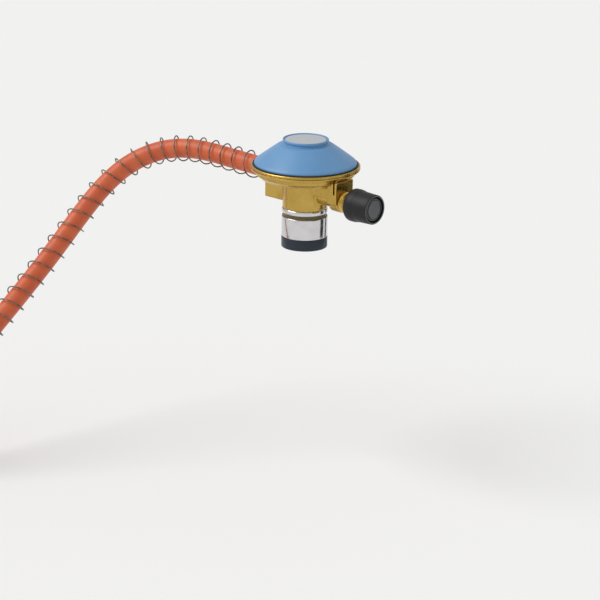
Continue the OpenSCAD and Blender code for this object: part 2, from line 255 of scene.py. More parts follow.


# %% [markdown]
# ## The hose
# A gas hose is one length of rubber tube, so it is one curve with a round bevel. The
# curve bends through given points: straight off its tail, over and
# down past the cartridge, and once round on the floor. A spline of the fourth order
# runs smoothly between them. The same points carry the wire guard.

# %% The route
HOSE_D = 13.3 * MM
HOSE_START = (-37.5, 0, 47)
ROUTE = [
    HOSE_START, (-53.5, 0, 47.5), (-68.5, -1, 48), (-83.5, -2, 49), (-98.5, -4.5, 49.5),
    (-113, -8.5, 48.5), (-126, -14.5, 45), (-137.5, -22, 39), (-146, -31, 31),
    (-152, -41, 21), (-156, -51, 10), (-158, -62, -1), (-160, -84, -22),
    (-161, -107, -41), (-162, -130, -59), (-162.5, -154, -77), (-164, -178, -94),
    (-168, -202, -110), (-176, -226, -124), (-189, -248, -135), (-208, -265, -142),
    (-232, -274, -144), (-258, -272, -144), (-283, -260, -144), (-302, -240, -144),
    (-312, -214, -144), (-312, -186, -144), (-302, -159, -144), (-282, -139, -144),
    (-256, -128, -144), (-228, -127, -144), (-203, -137, -144), (-184, -156, -144),
    (-174, -180, -144), (-172, -196, -144),
]
route = [Vector(point) * MM for point in ROUTE]
print("route:", len(route), "points")


# %% Curve helpers
def spline_object(name, points, thickness, sides=16, order=4, steps=8):
    """A curve object through or near the points, with a round bevel."""
    curve = bpy.data.curves.new(name, "CURVE")
    curve.dimensions = "3D"
    spline = curve.splines.new("NURBS" if order > 2 else "POLY")
    spline.points.add(len(points) - 1)
    for knot, point in zip(spline.points, points):
        knot.co = (*point, 1)
    spline.order_u = order
    spline.use_endpoint_u = True
    spline.resolution_u = steps
    curve.bevel_depth = thickness / 2
    curve.bevel_resolution = sides // 4 - 1
    curve.use_fill_caps = True
    piece = bpy.data.objects.new(name, curve)
    bpy.context.collection.objects.link(piece)
    return piece


def centre_line(points):
    """Closely spaced points along the smooth line that the hose follows."""
    bare = spline_object("bare_line", points, 0)
    bare.data.use_fill_caps = False
    mesh = bpy.data.meshes.new_from_object(bare)
    line = [v.co.copy() for v in mesh.vertices]
    bpy.data.meshes.remove(mesh)
    bpy.data.curves.remove(bare.data)
    return line


# %% The hose
HOSE_ROUNDNESS = 10                    # extra rings of points in a quarter of the bevel
line = centre_line(route)
hose_length = sum((b - a).length for a, b in zip(line, line[1:]))
hose = spline_object("rubber_hose", route, HOSE_D)
hose.data.bevel_resolution = HOSE_ROUNDNESS
print("hose length, mm:", round(hose_length / MM), "with", len(line), "points")

# %% Hose rubber
ORANGE = (0.63, 0.125, 0.042)
ORANGE_WORN = (0.55, 0.095, 0.032)


def hose_rubber():
    """Orange rubber: slightly cloudy, with faint scuffs and a soft sheen."""
    material, tree, shader = finish("hose_rubber", ORANGE, 0.42, Specular_IOR_Level=0.42)
    cloud = pattern(tree, 90, 4)
    colour = blend_colours(tree, cloud, ORANGE_WORN, ORANGE)
    tree.links.new(colour, shader.inputs["Base Color"])
    scuffs = pattern(tree, 700, 5)
    tree.links.new(spread_values(tree, scuffs, 0.36, 0.52), shader.inputs["Roughness"])
    roughen(tree, shader, scuffs, 0.05, 0.5)
    return material


hose.data.materials.append(hose_rubber())
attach(hose, "regulator")
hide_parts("hose")
print("the hose is", hose.data.materials[0].name)


# %% [markdown]
# ## The wire guard
# The guard is one steel wire wound into a long open spring. It is worked out as a
# helix round the hose's line: each step walks along the line, carries a sideways
# direction with it without twisting, and turns the wire's place about that line.

# %% The guard's sizes
GUARD_D = 18.6 * MM
WIRE_D = 0.95 * MM
WIRE_PITCH = 11.65 * MM
CLOSE_PITCH = 10.3 * MM                # where the guard is pushed together a little
CLOSE_FROM, CLOSE_TO = 27 * MM, 100 * MM
STEPS_PER_TURN = 24
STRAY = 0.04                           # how much a turn's pitch may stray, as a share
STRAY_SEED = 5
PHASE = -1.24                          # where round the hose the wire begins, radians
GUARD_START = 0.5 * MM
GUARD_GAP = 9.6 * MM                   # bare hose held in the crimped sleeve
print("about", round((hose_length - GUARD_START - GUARD_GAP) / WIRE_PITCH), "turns of wire")


# %% Helix helpers
def spaced(points, step):
    """The same line with points an even step apart."""
    out = [points[0].copy()]
    left = step
    for a, b in zip(points, points[1:]):
        length = (b - a).length
        done = 0.0
        while length - done >= left:
            done += left
            out.append(a.lerp(b, done / length))
            left = step
        left -= length - done
    return out


def wound(points, radius, phase, rng):
    """Points of a right-handed helix about a line; each turn strays a little."""
    step = (points[1] - points[0]).length
    side = Vector((0, 0, 1))
    out = []
    angle = phase
    stray = 0.0
    for i, point in enumerate(points):
        ahead = (points[min(i + 1, len(points) - 1)] - points[max(i - 1, 0)]).normalized()
        side = (side - ahead * side.dot(ahead)).normalized()
        across = ahead.cross(side)
        if i % STEPS_PER_TURN == 0:
            stray += 0.5 * (rng.uniform(-STRAY, STRAY) - stray)
        out.append(point + radius * (math.cos(angle) * side + math.sin(angle) * across))
        pitch = CLOSE_PITCH if CLOSE_FROM < i * step < CLOSE_TO else WIRE_PITCH
        angle += 2 * math.pi * step / pitch * (1 + stray)
    return out


# %% Wind the guard
guard_step = WIRE_PITCH / STEPS_PER_TURN
guard_line = spaced(line, guard_step)
guard_line = guard_line[round(GUARD_START / guard_step):-round(GUARD_GAP / guard_step)]
coil_radius = (GUARD_D - WIRE_D) / 2
wire_points = wound(guard_line, coil_radius, PHASE, random.Random(STRAY_SEED))
wire_curve = spline_object("wire", wire_points, WIRE_D, sides=8, order=3, steps=1)
guard = bpy.data.objects.new("wire_guard", bpy.data.meshes.new_from_object(wire_curve))
bpy.context.collection.objects.link(guard)
bpy.data.curves.remove(wire_curve.data)
for face in guard.data.polygons:
    face.use_smooth = True
print("guard:", len(guard.data.polygons), "faces along", round(len(guard_line) * guard_step / MM), "mm")


# %% Guard wire
WIRE_DARK, WIRE_RUBBED = (0.13, 0.105, 0.085), (0.32, 0.275, 0.225)


def guard_wire():
    """Drawn spring wire: dull brownish steel with brighter rubbed places."""
    material, tree, shader = finish("guard_wire", (0.24, 0.20, 0.165), 0.35, 0.9)
    rubbed = pattern(tree, 260, 4)
    colour = blend_colours(tree, rubbed, WIRE_DARK, WIRE_RUBBED, 0.4, 0.7)
    tree.links.new(colour, shader.inputs["Base Color"])
    tree.links.new(spread_values(tree, rubbed, 0.45, 0.28), shader.inputs["Roughness"])
    return material


guard.data.materials.clear()
guard.data.materials.append(guard_wire())
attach(guard, "regulator")
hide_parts("hose_guard")
print("the guard is", guard.data.materials[0].name)




# %% [markdown]
# ## The finishes
# One function makes each finish. Cast brass is lacquered and satin, with a fine skin
# from the mould, bright where its edges are handled and darker in its corners, where the
# darkening is painted shade. Turned brass carries fine tool rings round its axis. Paint
# has a slight orange peel, and moulded plastic a fine grain. The scales are those of the
# real surfaces: a noise scale of 1000 makes spots of about a millimetre.

# %% Brass
BRASS_DEEP = (0.50, 0.325, 0.070)
BRASS_PALE = (0.60, 0.405, 0.100)
BRASS_BRIGHT = (0.76, 0.54, 0.17)


def cast_brass():
    material, tree, shader = finish("cast_brass", (0.60, 0.44, 0.17), 0.34, 1.0)
    cloud = pattern(tree, 70, 4)
    colour = blend_colours(tree, cloud, BRASS_DEEP, BRASS_PALE)
    edges = tree.nodes.new("ShaderNodeNewGeometry")
    # Pointiness pales the edges as wear and darkens the corners as painted shade.
    edge_wear_and_corner_shade = spread_values(tree, edges.outputs["Pointiness"], 0.78, 1.08, 0.44, 0.56)
    shade = tree.nodes.new("ShaderNodeVectorMath")
    shade.operation = "SCALE"
    tree.links.new(colour, shade.inputs["Vector"])
    tree.links.new(edge_wear_and_corner_shade, shade.inputs["Scale"])
    tree.links.new(shade.outputs["Vector"], shader.inputs["Base Color"])
    skin = pattern(tree, 420, 2)
    tree.links.new(spread_values(tree, skin, 0.23, 0.30), shader.inputs["Roughness"])
    roughen(tree, shader, skin, 0.004, 0.15)
    return material


def turned_brass(name, rings):
    """Brass with tool rings; rings packs the pattern along the piece's axis."""
    material, tree, shader = finish(name, (0.66, 0.49, 0.20), 0.22, 1.0)
    cloud = pattern(tree, 120, 3)
    colour = blend_colours(tree, cloud, BRASS_DEEP, BRASS_BRIGHT)
    tree.links.new(colour, shader.inputs["Base Color"])
    tool = pattern(tree, 90, 2, rings)
    tree.links.new(spread_values(tree, tool, 0.16, 0.32), shader.inputs["Roughness"])
    roughen(tree, shader, tool, 0.02, 0.3)
    return material


print("brass runs from", BRASS_DEEP, "to", BRASS_BRIGHT)


# %% Chrome and sintered bronze
def polished_chrome():
    material, tree, shader = finish("polished_chrome", (0.66, 0.645, 0.65), 0.12, 1.0)
    haze = pattern(tree, 160, 4)
    tree.links.new(spread_values(tree, haze, 0.12, 0.20), shader.inputs["Roughness"])
    colour = blend_colours(tree, haze, (0.61, 0.595, 0.60), (0.68, 0.665, 0.67))
    tree.links.new(colour, shader.inputs["Base Color"])
    return material


def sintered_bronze():
    material, tree, shader = finish("sintered_bronze", (0.50, 0.34, 0.18), 0.6, 0.9)
    grains = pattern(tree, 2600, 2)
    colour = blend_colours(tree, grains, (0.22, 0.13, 0.06), (0.58, 0.41, 0.23), 0.4, 0.6)
    tree.links.new(colour, shader.inputs["Base Color"])
    roughen(tree, shader, grains, 0.15, 0.8)
    return material


print("chrome and bronze are ready")


# %% Steel
def plated_steel():
    material, tree, shader = finish("plated_steel", (0.55, 0.55, 0.56), 0.3, 1.0)
    grain = pattern(tree, 240, 4)
    colour = blend_colours(tree, grain, (0.46, 0.46, 0.48), (0.62, 0.62, 0.61))
    tree.links.new(colour, shader.inputs["Base Color"])
    tree.links.new(spread_values(tree, grain, 0.24, 0.40), shader.inputs["Roughness"])
    roughen(tree, shader, grain, 0.02, 0.3)
    return material


print("plated steel is ready")


# %% Paint
PAINT_BLUE = (0.118, 0.290, 0.530)
PAINT_BLUE_DEEP = (0.104, 0.268, 0.500)


def blue_paint():
    """Satin enamel: a slight orange peel and a thin clear coat."""
    material, tree, shader = finish(
        "blue_paint", PAINT_BLUE, 0.42, Coat_Weight=0.12, Coat_Roughness=0.25
    )
    cloud = pattern(tree, 45, 3)
    colour = blend_colours(tree, cloud, PAINT_BLUE_DEEP, PAINT_BLUE)
    tree.links.new(colour, shader.inputs["Base Color"])
    peel = pattern(tree, 650, 2)
    tree.links.new(spread_values(tree, peel, 0.38, 0.48), shader.inputs["Roughness"])
    roughen(tree, shader, peel, 0.02, 0.35)
    return material


print("paint runs from", PAINT_BLUE_DEEP, "to", PAINT_BLUE)


# %% Plastic and rubber
def moulded(name, colour, roughness, grain=900, depth=0.03, lift=1.25):
    """Moulded plastic or rubber: a fine grain, paler and rougher where it is rubbed."""
    material, tree, shader = finish(name, colour, roughness, Specular_IOR_Level=0.32)
    spots = pattern(tree, grain, 4)
    rubbed = tuple(channel * lift for channel in colour)
    tree.links.new(blend_colours(tree, spots, colour, rubbed), shader.inputs["Base Color"])
    clouds = pattern(tree, grain / 9, 4)
    spread = spread_values(tree, clouds, roughness - 0.06, roughness + 0.08)
    tree.links.new(spread, shader.inputs["Roughness"])
    roughen(tree, shader, spots, depth, 0.5)
    return material


print("mouldings are ready")


# %% Give every CAD part its finish
nodes = frame["nodes"]
RINGS_ALONG_X = (60, 1, 1)
RINGS_ALONG_Z = (1, 1, 60)
finishes = {
    "brass": cast_brass(),
    "turned_brass": turned_brass("turned_brass_x", RINGS_ALONG_X),
    "bronze": sintered_bronze(),
    "chrome": polished_chrome(),
    "dark_polymer": moulded("dark_polymer", (0.016, 0.024, 0.038), 0.38, 700, 0.015, 1.12),
    "blue_paint": blue_paint(),
    "badge_grey": moulded("badge_grey", (0.43, 0.455, 0.48), 0.42, 1100, 0.01, 1.06),
    "black_rubber": moulded("black_rubber", (0.016, 0.016, 0.017), 0.6, 800, 0.03),
    "steel": plated_steel(),
    "spring_steel": guard.data.materials[0],
    "knob_plastic": moulded("knob_plastic", (0.009, 0.009, 0.010), 0.46, 1300, 0.03, 1.3),
    "cap_plastic": moulded("cap_plastic", (0.100, 0.104, 0.108), 0.36, 900, 0.015, 1.12),
    "orange_rubber": hose.data.materials[0],
}
upright_brass = turned_brass("turned_brass_z", RINGS_ALONG_Z)
upright = ("inlet_insert", "opener_pin", "inlet_jet", "spring_adjuster")
for part in frame["record"]["subparts"]:
    node = nodes[part["node"]]
    metal = upright_brass if part["node"] in upright else finishes[part["material_slot"]]
    node.data.materials.clear()
    node.data.materials.append(metal)
print(len(finishes), "finishes on", len(nodes), "CAD parts")


# %% [markdown]
# ## Turned pieces
# Most of this regulator is round: it was turned, drawn or spun on an axis. In Blender
# that is the spin tool: draw half the cross-section once, round its corners with a
# vertex bevel, and sweep it a full turn. Real corners are never sharp, and the small
# bevels are what catch the light along every rim.

# %% Measure a CAD part
def box_mm(node):
    """A CAD part's lowest and highest corners in millimetres."""
    low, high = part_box(node)
    return Vector(low) / MM, Vector(high) / MM


print("the cover's box, mm:", [[round(v, 1) for v in corner] for corner in box_mm("cover")])


# %% The spin helper
TURN_STEPS = 128
WIDE_CORNER = 1.5                      # corners above this get more segments


def spun(outline, axis="Z", height=0.0, steps=TURN_STEPS, whole=True):
    """Spins (radius, along, corner) points a full turn; corner rounds that point."""
    shape = bmesh.new()
    points = [shape.verts.new((r * MM, 0, along * MM)) for r, along, _ in outline]
    for a, b in zip(points, points[1:]):
        shape.edges.new((a, b))
    if whole:
        shape.edges.new((points[-1], points[0]))
    corners = [corner for _, _, corner in outline]
    for size in sorted(set(corners) - {0}):
        chosen = [p for p, corner in zip(points, corners) if corner == size]
        bmesh.ops.bevel(
            shape, geom=chosen, affect="VERTICES", offset=size * MM,
            segments=6 if size > WIDE_CORNER else 3, profile=0.5, material=-1,
            clamp_overlap=True,
        )
    bmesh.ops.spin(
        shape, geom=shape.verts[:] + shape.edges[:], cent=(0, 0, 0), axis=(0, 0, 1),
        angle=2 * math.pi, steps=steps, use_merge=True,
    )
    bmesh.ops.remove_doubles(shape, verts=shape.verts, dist=0.002 * MM)
    bmesh.ops.recalc_face_normals(shape, faces=shape.faces)
    if axis == "X":
        place = Matrix.Translation((0, 0, height * MM)) @ Matrix.Rotation(math.pi / 2, 4, "Y")
        bmesh.ops.transform(shape, matrix=place, verts=shape.verts)
    return shape


print("a full turn has", TURN_STEPS, "steps")


# %% Tie a piece to the frame
SHARP = math.radians(38)               # edges that turn more than this look crisp


def piece_from(shape, name, metal, body, *stands_for, slot=None):
    """Makes a bmesh an object with its finish, and ties it to the frame."""
    for face in shape.faces:
        face.smooth = True
    for edge in shape.edges:
        edge.smooth = len(edge.link_faces) == 2 and edge.calc_face_angle() < SHARP
    mesh = bpy.data.meshes.new(name)
    shape.to_mesh(mesh)
    shape.free()
    piece = bpy.data.objects.new(name, mesh)
    bpy.context.collection.objects.link(piece)
    mesh.materials.append(finishes[slot] if metal is None else metal)
    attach(piece, body)
    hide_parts(*stands_for)
    print(name, len(mesh.polygons), "faces")
    return piece


# %% [markdown]
# ## The brass casting
# The bowl, the neck, the knob-side arm and the outlet block are one brass casting, so
# they blend into each other. The CAD part has the right shape with hard creases. A
# merged copy of it is remeshed in small cubes and relaxed, which melts each crease
# into the small fillet that a mould gives. The rolled rim is machined crisp on the real
# part, so it is drawn in on the copy and spun as a ring of its own.

# %% Draw the rim in on a copy
RIM_FROM = 34                          # radius outside which the copy is the rim
RIM_INSET = 0.6
rim_high = box_mm("body_casting")[1]
rim_r = rim_high.x
lip_z = rim_high.z
shoulder_z = lip_z - 2.5
rim_z = lip_z - 3.3

shape = bmesh.new()
shape.from_mesh(nodes["body_casting"].data)
bmesh.ops.remove_doubles(shape, verts=shape.verts, dist=0.002 * MM)
for vert in shape.verts:
    out = math.hypot(vert.co.x, vert.co.y) / MM
    if out > RIM_FROM and vert.co.z / MM > rim_z - 0.3:
        if out > rim_r - RIM_INSET:
            vert.co.x *= (rim_r - RIM_INSET) / out
            vert.co.y *= (rim_r - RIM_INSET) / out
        vert.co.z = min(max(vert.co.z, (rim_z + 0.2) * MM), shoulder_z * MM)
hard = bpy.data.meshes.new("hard_casting")
shape.to_mesh(hard)
shape.free()
print("rim radius, mm:", round(rim_r, 2), "and its lip at", round(lip_z, 2))

# %% Soften the casting
VOXEL = 0.42
RELAX = 3
casting = bpy.data.objects.new("casting", hard)
bpy.context.collection.objects.link(casting)
remesh = casting.modifiers.new("cubes", "REMESH")
remesh.mode = "VOXEL"
remesh.voxel_size = VOXEL * MM
relax = casting.modifiers.new("relax", "SMOOTH")
relax.factor = 0.5
relax.iterations = RELAX
bpy.context.view_layer.update()
softened = casting.evaluated_get(bpy.context.evaluated_depsgraph_get())
soft = bpy.data.meshes.new_from_object(softened)
casting.modifiers.clear()
casting.data = soft
soft.materials.clear()
soft.materials.append(finishes["brass"])
for face in soft.polygons:
    face.use_smooth = True
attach(casting, "regulator")
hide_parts("body_casting")
print("casting:", len(soft.polygons), "faces")

# %% The rolled rim
NOTCH = 0.7                            # depth of the turned groove round the rim
HIDDEN_R = 34.6                        # the ring's inner edge, buried in the casting
gasket_r = box_mm("rim_gasket")[1].x
rim = [
    (HIDDEN_R, rim_z + 0.1, 0), (HIDDEN_R + 0.2, rim_z, 0), (rim_r - 0.6, rim_z, 0),
    (rim_r, rim_z + 0.5, 0.25),
    (rim_r, rim_z + 1.4, 0.1), (rim_r - NOTCH, rim_z + 1.55, 0.1),
    (rim_r - NOTCH, rim_z + 2.0, 0.1), (rim_r, rim_z + 2.15, 0.1),
    (rim_r, lip_z - 0.5, 0.3), (rim_r - 0.5, lip_z, 0.3), (gasket_r + 0.04, lip_z, 0.15),
    (gasket_r + 0.04, rim_z + 0.6, 0), (HIDDEN_R, rim_z + 0.6, 0),
]
piece_from(spun(rim), "rolled_rim", None, "regulator", "body_casting", slot="brass")


# %% [markdown]
# ## Cover, badge and gasket
# The cover is a deep-drawn steel dome: its flank is nearly straight, its shoulders are
# round, and a raised ring holds a flat badge. It is spun as a wall of real thickness.
# A black gasket fills the gap between cover and rim.

# %% Domed cover
FLANGE_R, WALL_R = 28.4, 31.6          # inside the foot, and inside the wall above it
FLANGE_TOP = 56.7
SHOULDER = 33.7                        # where the upright edge turns into the dome
cover_low, cover_high = box_mm("cover")
cover_r, crown_z = cover_high.x, cover_high.z
badge_low, badge_high = box_mm("cover_badge")
badge_r = badge_high.x
crown_r = badge_r + 1.3
adjuster_r = box_mm("spring_adjuster")[1].x + 0.05
cover = [
    (FLANGE_R, cover_low.z, 0.2), (cover_r, cover_low.z, 0.2), (cover_r, 57.9, 0.5),
    (SHOULDER, 59.0, 1.0), (23.0, 67.0, 4), (18.2, 70.3, 1.2), (crown_r - 0.6, 71.2, 0.4),
    (crown_r - 0.55, 72.1, 0.35), (crown_r + 0.1, 72.6, 0.3),
    (crown_r + 0.05, crown_z - 0.3, 0.3), (badge_r + 0.8, crown_z, 0.25),
    (badge_r + 0.15, crown_z - 0.5, 0.2), (badge_r + 0.1, badge_low.z, 0),
    (adjuster_r, badge_low.z, 0), (adjuster_r, 69, 0.2), (16.0, 69, 1.2), (21.4, 65.2, 4),
    (WALL_R, 57.6, 0.5), (WALL_R, FLANGE_TOP, 0.3), (FLANGE_R, FLANGE_TOP, 0.2),
]
piece_from(spun(cover), "domed_cover", None, "regulator", "cover", slot="blue_paint")

# %% Badge and gasket
badge = [
    (0, badge_low.z, 0), (badge_r, badge_low.z, 0), (badge_r, badge_high.z - 0.75, 0),
    (badge_r - 0.25, badge_high.z - 0.7, 0), (badge_r - 0.3, badge_high.z - 0.35, 0.1),
    (badge_r - 0.7, badge_high.z - 0.2, 0.2), (0, badge_high.z - 0.15, 0),
]
piece_from(spun(badge, whole=False), "badge_disc", None, "regulator", "cover_badge", slot="badge_grey")
gasket_low, gasket_high = box_mm("rim_gasket")
gasket = [
    (cover_r + 0.03, gasket_low.z, 0), (gasket_r, gasket_low.z, 0),
    (gasket_r, gasket_high.z, 0.3), (cover_r + 0.03, gasket_high.z, 0.2),
]
piece_from(spun(gasket), "gasket_ring", None, "regulator", "rim_gasket", slot="black_rubber")


# %% [markdown]
# ## The connector
# Under the neck a chromed sleeve ends in a rounded bead, with a groove where the bare
# brass shows, and a dark ring seats it on the cartridge. The groove's faces get a
# second material slot: bare brass, because plating doesn't reach into so narrow a place,
# painted dark as shade in the groove.

# %% Chromed sleeve
sleeve_low, sleeve_high = box_mm("connector_sleeve")
sleeve_r, sleeve_top = sleeve_high.x, sleeve_high.z
NECK_R, SLEEVE_BORE = 15.0, 13.02
GROOVE_TOP, GROOVE_FLOOR = sleeve_top - 3.1, sleeve_top - 5.7
sleeve = [
    (SLEEVE_BORE, sleeve_low.z + 0.5, 0.2), (SLEEVE_BORE, sleeve_top, 0), (NECK_R, sleeve_top, 0.1),
    (sleeve_r, sleeve_top - 0.7, 0.45), (sleeve_r, sleeve_top - 2.6, 0.45),
    (sleeve_r - 0.4, GROOVE_TOP, 0.1), (sleeve_r - 0.8, GROOVE_TOP, 0.1),
    (sleeve_r - 0.8, GROOVE_FLOOR, 0.1), (sleeve_r - 0.3, GROOVE_FLOOR, 0.1),
    (sleeve_r, GROOVE_FLOOR - 0.4, 0.25), (sleeve_r, sleeve_low.z + 0.3, 0.15),
    (sleeve_r - 0.3, sleeve_low.z, 0.15), (SLEEVE_BORE + 0.5, sleeve_low.z, 0.1),
]
shape = spun(sleeve)
# The groove's faces take bare brass, painted dark as shade in the groove.
for face in shape.faces:
    middle = face.calc_center_median() / MM
    out = math.hypot(middle.x, middle.y)
    if GROOVE_FLOOR - 0.1 < middle.z < GROOVE_TOP + 0.05 and out > NECK_R - 0.6:
        face.material_index = 1
chromed = piece_from(shape, "chromed_sleeve", None, "regulator", "connector_sleeve", slot="chrome")
chromed.data.materials.append(moulded("groove_brass_painted_shade", (0.10, 0.078, 0.030), 0.35, 500, 0.02))

# %% Base ring
BASE_BORE = 10.95
ring_low, ring_high = box_mm("base_ring")
ring_r = ring_high.x
base = [
    (BASE_BORE, ring_low.z, 0.3), (ring_r, ring_low.z, 0.45), (ring_r, ring_high.z, 0.25),
    (BASE_BORE, ring_high.z, 0),
]
piece_from(spun(base), "seating_ring", None, "regulator", "base_ring", slot="dark_polymer")


# %% [markdown]
# ## Valve bonnet and knob
# The bonnet is turned from brass bar, with a grip band between two beads. The knob is a
# black moulding: fat at the back, then a small step, a straight taper to the front,
# and a pocket that holds a grey cap. Its front edge is painted paler as a highlight. Both
# turn about the X axis, so their outlines are spun upright and laid over. The marks on
# the cap are two plain raised arcs, made by spinning a small square part of a turn.

# %% Bonnet
BONNET_BORE, NOSE_R, THREAD_R = 2.05, 2.96, 3.55
knob_low, knob_high = box_mm("knob")
axis_z = (knob_low.z + knob_high.z) / 2
bonnet_end = box_mm("valve_bonnet")[1].x
arm_end = bonnet_end - 6.8
bonnet = [
    (BONNET_BORE, 28, 0), (NOSE_R, 28, 0), (NOSE_R, 26, 0), (THREAD_R, 26, 0.2),
    (THREAD_R, arm_end, 0), (6.9, arm_end, 0.15), (7.3, arm_end + 0.6, 0.2),
    (7.3, arm_end + 2.1, 0.25),
    (6.6, arm_end + 2.7, 0.2), (6.6, arm_end + 4.0, 0.2), (7.1, arm_end + 4.6, 0.25),
    (7.1, bonnet_end - 0.8, 0.3), (6.3, bonnet_end, 0.3), (BONNET_BORE, bonnet_end, 0.15),
]
piece_from(spun(bonnet, "X", axis_z), "turned_bonnet", None, "regulator", "valve_bonnet",
           slot="turned_brass")

# %% Knob
HIGHLIGHT_RING_TO = 9.45                       # radius of the painted highlight ring on the knob's front
rear, face_x = knob_low.x, knob_high.x
knob_r = (knob_high.z - knob_low.z) / 2
pocket = face_x - 2.8
shaft_end = face_x - 5.0
knob = [
    (8.8, rear, 0.15), (10.0, rear, 0.4), (knob_r, rear + 1.2, 0.7), (knob_r, rear + 5.4, 0.8),
    (10.3, rear + 8.2, 0.8), (9.9, face_x - 0.4, 0.25), (9.5, face_x, 0.2),
    (8.75, face_x, 0.2), (8.5, pocket, 0.1), (2.6, pocket, 0), (2.6, pocket - 1.4, 0),
    (1.3, pocket - 1.4, 0), (1.3, shaft_end, 0), (2.0, shaft_end, 0), (2.0, rear + 2.4, 0.1),
    (4.2, rear + 2.4, 0.1), (4.2, rear + 7.9, 0.3), (8.8, rear + 7.9, 0.3),
]
shape = spun(knob, "X", axis_z)
# The knob's front ring gets a paler material as a painted highlight.
for face in shape.faces:
    middle = face.calc_center_median() / MM
    if middle.x > face_x - 0.12 and math.hypot(middle.y, middle.z - axis_z) < HIGHLIGHT_RING_TO:
        face.material_index = 1
knob_piece = piece_from(shape, "moulded_knob", None, "knob", "knob", slot="knob_plastic")
knob_piece.data.materials.append(moulded("painted_highlight_rim", (0.115, 0.118, 0.122), 0.36))

# %% Cap blank
DISC_DROP = 0.12                       # how far the disc lies under the highest marks
cap_low, cap_high = box_mm("knob_cap")
cap_r = cap_high.y
cap = [
    (0, cap_low.x, 0), (cap_r, cap_low.x, 0), (cap_r, cap_high.x - 0.25, 0.15),
    (cap_r - 0.6, cap_high.x - DISC_DROP, 0.1), (cap_r - 0.8, cap_high.x - 0.35, 0.1),
    (cap_r - 1.0, cap_high.x - DISC_DROP, 0.1), (0, cap_high.x - DISC_DROP, 0),
]
shape = spun(cap, "X", axis_z, whole=False)
print("cap radius, mm:", round(cap_r, 2))

# %% Two arcs on the cap
ARC_R, ARC_WIDE, ARC_HIGH = 5.9, 0.8, 0.3
for first, sweep in ((30, 120), (215, 85)):
    begin = Matrix.Rotation(math.radians(first), 4, "X")
    corners = [(cap_high.x - ARC_HIGH, ARC_R), (cap_high.x, ARC_R),
               (cap_high.x, ARC_R + ARC_WIDE), (cap_high.x - ARC_HIGH, ARC_R + ARC_WIDE)]
    square = [shape.verts.new(begin @ Vector((x * MM, 0, r * MM))) for x, r in corners]
    end = shape.faces.new(square)
    for vert in square:
        vert.co.z += axis_z * MM
    made = bmesh.ops.extrude_face_region(shape, geom=[end])["geom"]
    other = [g for g in made if isinstance(g, bmesh.types.BMFace)]
    tip = [g for g in made if isinstance(g, bmesh.types.BMVert)]
    bmesh.ops.delete(shape, geom=other, context="FACES_ONLY")
    bmesh.ops.delete(shape, geom=tip, context="VERTS")
    bmesh.ops.spin(
        shape, geom=[end], cent=(0, 0, axis_z * MM), axis=(1, 0, 0),
        angle=math.radians(sweep), steps=30, use_merge=False,
    )
bmesh.ops.recalc_face_normals(shape, faces=shape.faces)
for face in shape.faces:
    middle = face.calc_center_median() / MM
    out = math.hypot(middle.y, middle.z - axis_z)
    on_arc = ARC_R < out < ARC_R + ARC_WIDE and middle.x > cap_high.x - 0.29
    # The groove round the cap is painted black as shade; the raised arcs are black marks.
    groove_painted_shade = cap_r - 1.0 < out < cap_r - 0.6
    if on_arc or groove_painted_shade:
        face.material_index = 1
marked = piece_from(shape, "marked_cap", None, "knob", "knob_cap", slot="cap_plastic")
marked.data.materials.append(finishes["knob_plastic"])


# %% [markdown]
# ## Fittings at the free end
# The hose ends in a crimped steel sleeve and a hexagonal union nut. The nut starts as a
# cylinder of six sides, and its corners are turned off by keeping only what lies inside
# a round bar. The bore shows a thread, cut as shallow rings. Both fittings are made
# along the X axis and then moved to the end of the hose's route.

# %% Where the fittings go
END_HEADING = -83                      # degrees round from the X axis
END_PLACE = Matrix.Translation(Vector(ROUTE[-1]) * MM) @ Matrix.Rotation(
    math.radians(END_HEADING), 4, "Z"
)
print("the hose ends at, mm:", ROUTE[-1])


# %% A cutting helper
def cut_by(target, tool_shape, operation):
    """Keeps or removes what lies inside a second closed shape."""
    mesh = bpy.data.meshes.new("cutter")
    tool_shape.to_mesh(mesh)
    tool_shape.free()
    tool = bpy.data.objects.new("cutter", mesh)
    bpy.context.collection.objects.link(tool)
    cut = target.modifiers.new("cut", "BOOLEAN")
    cut.operation = operation
    cut.object = tool
    cut.solver = "EXACT"
    bpy.context.view_layer.update()
    shaped = target.evaluated_get(bpy.context.evaluated_depsgraph_get())
    target.data = bpy.data.meshes.new_from_object(shaped)
    target.modifiers.clear()
    bpy.data.objects.remove(tool)


# %% Nut blank
NUT_FLATS = 17.0
NUT_FROM, NUT_TO = 2.6, 16.6
NUT_BAR_R, NUT_FACE_R = 9.9, 8.3
corner_r = NUT_FLATS / 2 / math.cos(math.pi / 6) * MM
shape = bmesh.new()
bmesh.ops.create_cone(
    shape, cap_ends=True, segments=6, radius1=corner_r, radius2=corner_r,
    depth=(NUT_TO - NUT_FROM) * MM,
)
lay = Matrix.Translation(((NUT_FROM + NUT_TO) / 2 * MM, 0, 0)) @ Matrix.Rotation(
    math.pi / 2, 4, "Y")
bmesh.ops.transform(shape, matrix=lay, verts=shape.verts)
raw = bpy.data.meshes.new("raw_nut")
shape.to_mesh(raw)
shape.free()
nut = bpy.data.objects.new("hexagon_union_nut", raw)
bpy.context.collection.objects.link(nut)
bar = [(0, NUT_FROM, 0), (NUT_FACE_R, NUT_FROM, 0), (NUT_BAR_R, NUT_FROM + 1.1, 0),
       (NUT_BAR_R, NUT_TO - 1.1, 0), (NUT_FACE_R, NUT_TO, 0), (0, NUT_TO, 0)]
cut_by(nut, spun(bar, "X", whole=False), "INTERSECT")
print("nut blank:", len(nut.data.polygons), "faces")

